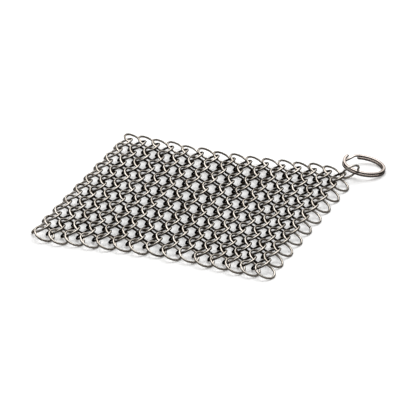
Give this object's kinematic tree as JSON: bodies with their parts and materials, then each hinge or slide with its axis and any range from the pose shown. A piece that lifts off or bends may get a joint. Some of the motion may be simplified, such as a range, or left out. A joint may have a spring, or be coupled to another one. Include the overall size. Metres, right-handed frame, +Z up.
{
  "type": "pot scrubber",
  "caption": "Square chain-mail pot scrubber: a limp mat of linked steel wire rings in rows, with a split ring at one corner to hang it by.",
  "frame": {"origin": "under the middle of the mat, on the surface that it lies on", "axes": "+Z up from that surface, +Y along the rows of rings towards the edge with the split ring, +X across the rows towards the corner with the split ring"},
  "size_m": [0.1609, 0.1713, 0.0111],
  "materials": {
    "ring_wire": "bright drawn stainless wire",
    "split_ring_wire": "polished flattened wire"
  },
  "bodies": {
    "row_01": {"ring_row_01": "ring_wire"},
    "row_02": {"ring_row_02": "ring_wire"},
    "row_03": {"ring_row_03": "ring_wire"},
    "row_04": {"ring_row_04": "ring_wire"},
    "row_05": {"ring_row_05": "ring_wire"},
    "row_06": {"ring_row_06": "ring_wire"},
    "row_07": {"ring_row_07": "ring_wire"},
    "row_08": {"ring_row_08": "ring_wire"},
    "row_09": {"ring_row_09": "ring_wire"},
    "row_10": {"ring_row_10": "ring_wire"},
    "row_11": {"ring_row_11": "ring_wire"},
    "row_12": {"ring_row_12": "ring_wire"},
    "row_13": {"ring_row_13": "ring_wire"},
    "row_14": {"ring_row_14": "ring_wire"},
    "row_15": {"ring_row_15": "ring_wire"},
    "row_16": {"ring_row_16": "ring_wire"},
    "row_17": {"ring_row_17": "ring_wire"},
    "row_18": {"ring_row_18": "ring_wire"},
    "row_19": {"ring_row_19": "ring_wire"},
    "row_20": {"ring_row_20": "ring_wire"},
    "row_21": {"ring_row_21": "ring_wire"},
    "row_22": {"ring_row_22": "ring_wire"},
    "row_23": {"ring_row_23": "ring_wire"},
    "row_24": {"ring_row_24": "ring_wire"},
    "row_25": {"ring_row_25": "ring_wire"},
    "row_26": {"ring_row_26": "ring_wire"},
    "row_27": {"ring_row_27": "ring_wire"},
    "row_28": {"ring_row_28": "ring_wire"},
    "row_29": {"ring_row_29": "ring_wire"},
    "row_30": {"ring_row_30": "ring_wire"},
    "corner_ring": {"corner_ring": "ring_wire"},
    "split_ring": {"split_ring": "split_ring_wire"}
  },
  "joints": [
    {"name": "fold_01_02", "type": "hinge", "parent": "row_02", "child": "row_01", "pos_m": [-0.06649, 0, 0.00342], "axis": [0, 1, 0], "range_deg": [-10, 10]},
    {"name": "fold_02_03", "type": "hinge", "parent": "row_03", "child": "row_02", "pos_m": [-0.06215, 0, 0.00342], "axis": [0, 1, 0], "range_deg": [-10, 10]},
    {"name": "fold_03_04", "type": "hinge", "parent": "row_04", "child": "row_03", "pos_m": [-0.05777, 0, 0.00342], "axis": [0, 1, 0], "range_deg": [-10, 10]},
    {"name": "fold_04_05", "type": "hinge", "parent": "row_05", "child": "row_04", "pos_m": [-0.05335, 0, 0.00342], "axis": [0, 1, 0], "range_deg": [-10, 10]},
    {"name": "fold_05_06", "type": "hinge", "parent": "row_06", "child": "row_05", "pos_m": [-0.04887, 0, 0.00342], "axis": [0, 1, 0], "range_deg": [-10, 10]},
    {"name": "fold_06_07", "type": "hinge", "parent": "row_07", "child": "row_06", "pos_m": [-0.04432, 0, 0.00342], "axis": [0, 1, 0], "range_deg": [-10, 10]},
    {"name": "fold_07_08", "type": "hinge", "parent": "row_08", "child": "row_07", "pos_m": [-0.03969, 0, 0.00342], "axis": [0, 1, 0], "range_deg": [-10, 10]},
    {"name": "fold_08_09", "type": "hinge", "parent": "row_09", "child": "row_08", "pos_m": [-0.03497, 0, 0.00342], "axis": [0, 1, 0], "range_deg": [-10, 10]},
    {"name": "fold_09_10", "type": "hinge", "parent": "row_10", "child": "row_09", "pos_m": [-0.03017, 0, 0.00342], "axis": [0, 1, 0], "range_deg": [-10, 10]},
    {"name": "fold_10_11", "type": "hinge", "parent": "row_11", "child": "row_10", "pos_m": [-0.02528, 0, 0.00342], "axis": [0, 1, 0], "range_deg": [-10, 10]},
    {"name": "fold_11_12", "type": "hinge", "parent": "row_12", "child": "row_11", "pos_m": [-0.02033, 0, 0.00342], "axis": [0, 1, 0], "range_deg": [-10, 10]},
    {"name": "fold_12_13", "type": "hinge", "parent": "row_13", "child": "row_12", "pos_m": [-0.0153, 0, 0.00342], "axis": [0, 1, 0], "range_deg": [-10, 10]},
    {"name": "fold_13_14", "type": "hinge", "parent": "row_14", "child": "row_13", "pos_m": [-0.01023, 0, 0.00342], "axis": [0, 1, 0], "range_deg": [-10, 10]},
    {"name": "fold_14_15", "type": "hinge", "parent": "row_15", "child": "row_14", "pos_m": [-0.00513, 0, 0.00342], "axis": [0, 1, 0], "range_deg": [-10, 10]},
    {"name": "fold_15_16", "type": "hinge", "parent": "row_15", "child": "row_16", "pos_m": [0, 0, 0.00342], "axis": [0, -1, 0], "range_deg": [-10, 10]},
    {"name": "fold_16_17", "type": "hinge", "parent": "row_16", "child": "row_17", "pos_m": [0.00513, 0, 0.00342], "axis": [0, -1, 0], "range_deg": [-10, 10]},
    {"name": "fold_17_18", "type": "hinge", "parent": "row_17", "child": "row_18", "pos_m": [0.01023, 0, 0.00342], "axis": [0, -1, 0], "range_deg": [-10, 10]},
    {"name": "fold_18_19", "type": "hinge", "parent": "row_18", "child": "row_19", "pos_m": [0.0153, 0, 0.00342], "axis": [0, -1, 0], "range_deg": [-10, 10]},
    {"name": "fold_19_20", "type": "hinge", "parent": "row_19", "child": "row_20", "pos_m": [0.02033, 0, 0.00342], "axis": [0, -1, 0], "range_deg": [-10, 10]},
    {"name": "fold_20_21", "type": "hinge", "parent": "row_20", "child": "row_21", "pos_m": [0.02528, 0, 0.00342], "axis": [0, -1, 0], "range_deg": [-10, 10]},
    {"name": "fold_21_22", "type": "hinge", "parent": "row_21", "child": "row_22", "pos_m": [0.03017, 0, 0.00342], "axis": [0, -1, 0], "range_deg": [-10, 10]},
    {"name": "fold_22_23", "type": "hinge", "parent": "row_22", "child": "row_23", "pos_m": [0.03497, 0, 0.00342], "axis": [0, -1, 0], "range_deg": [-10, 10]},
    {"name": "fold_23_24", "type": "hinge", "parent": "row_23", "child": "row_24", "pos_m": [0.03969, 0, 0.00342], "axis": [0, -1, 0], "range_deg": [-10, 10]},
    {"name": "fold_24_25", "type": "hinge", "parent": "row_24", "child": "row_25", "pos_m": [0.04432, 0, 0.00342], "axis": [0, -1, 0], "range_deg": [-10, 10]},
    {"name": "fold_25_26", "type": "hinge", "parent": "row_25", "child": "row_26", "pos_m": [0.04887, 0, 0.00342], "axis": [0, -1, 0], "range_deg": [-10, 10]},
    {"name": "fold_26_27", "type": "hinge", "parent": "row_26", "child": "row_27", "pos_m": [0.05335, 0, 0.00342], "axis": [0, -1, 0], "range_deg": [-10, 10]},
    {"name": "fold_27_28", "type": "hinge", "parent": "row_27", "child": "row_28", "pos_m": [0.05777, 0, 0.00342], "axis": [0, -1, 0], "range_deg": [-10, 10]},
    {"name": "fold_28_29", "type": "hinge", "parent": "row_28", "child": "row_29", "pos_m": [0.06215, 0, 0.00342], "axis": [0, -1, 0], "range_deg": [-10, 10]},
    {"name": "fold_29_30", "type": "hinge", "parent": "row_29", "child": "row_30", "pos_m": [0.06649, 0, 0.00342], "axis": [0, -1, 0], "range_deg": [-10, 10]},
    {"name": "corner_ring_swing", "type": "hinge", "parent": "row_29", "child": "corner_ring", "pos_m": [0.06846, 0.06536, 0.00566], "axis": [0.6922, -0.4883, -0.5314], "range_deg": [0, 80]},
    {"name": "split_ring_swing", "type": "hinge", "parent": "corner_ring", "child": "split_ring", "pos_m": [0.07301, 0.07322, 0.00437], "axis": [0.1702, 0.065, 0.9833], "range_deg": [-30, 20]}
  ]
}
